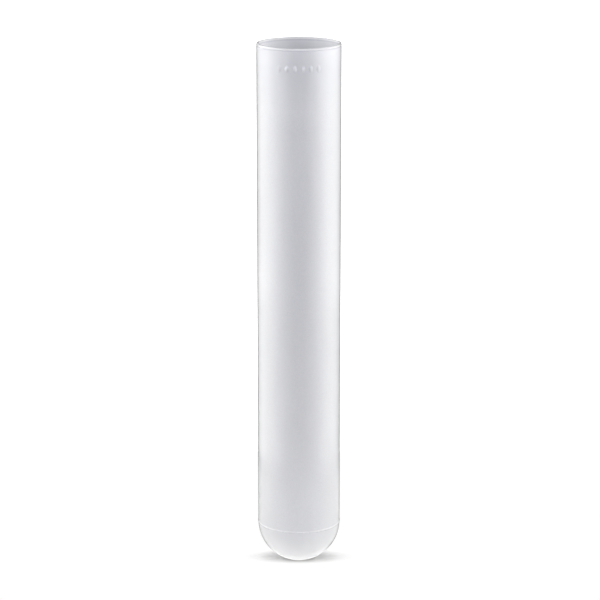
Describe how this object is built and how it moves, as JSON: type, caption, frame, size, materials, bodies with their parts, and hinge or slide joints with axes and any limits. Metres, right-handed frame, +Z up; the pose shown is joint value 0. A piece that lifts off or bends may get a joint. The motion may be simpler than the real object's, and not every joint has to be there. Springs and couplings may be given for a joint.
{
  "type": "round-bottom test tube",
  "caption": "Rimless round-bottom test tube in thin, milky translucent polypropylene, open at the top, with a fine moulding line above the half-sphere bottom.",
  "frame": {"origin": "the lowest point of the round bottom, on the tube's axis, where it sits in a rack or holder", "axes": "+Z up along the tube's axis to the open mouth; +X and +Y across it, where the raised dot row faces -Y"},
  "size_m": [0.016, 0.016, 0.102],
  "materials": {
    "milky_polypropylene": "satin"
  },
  "bodies": {
    "root": {"tube": "milky_polypropylene"}
  },
  "joints": []
}
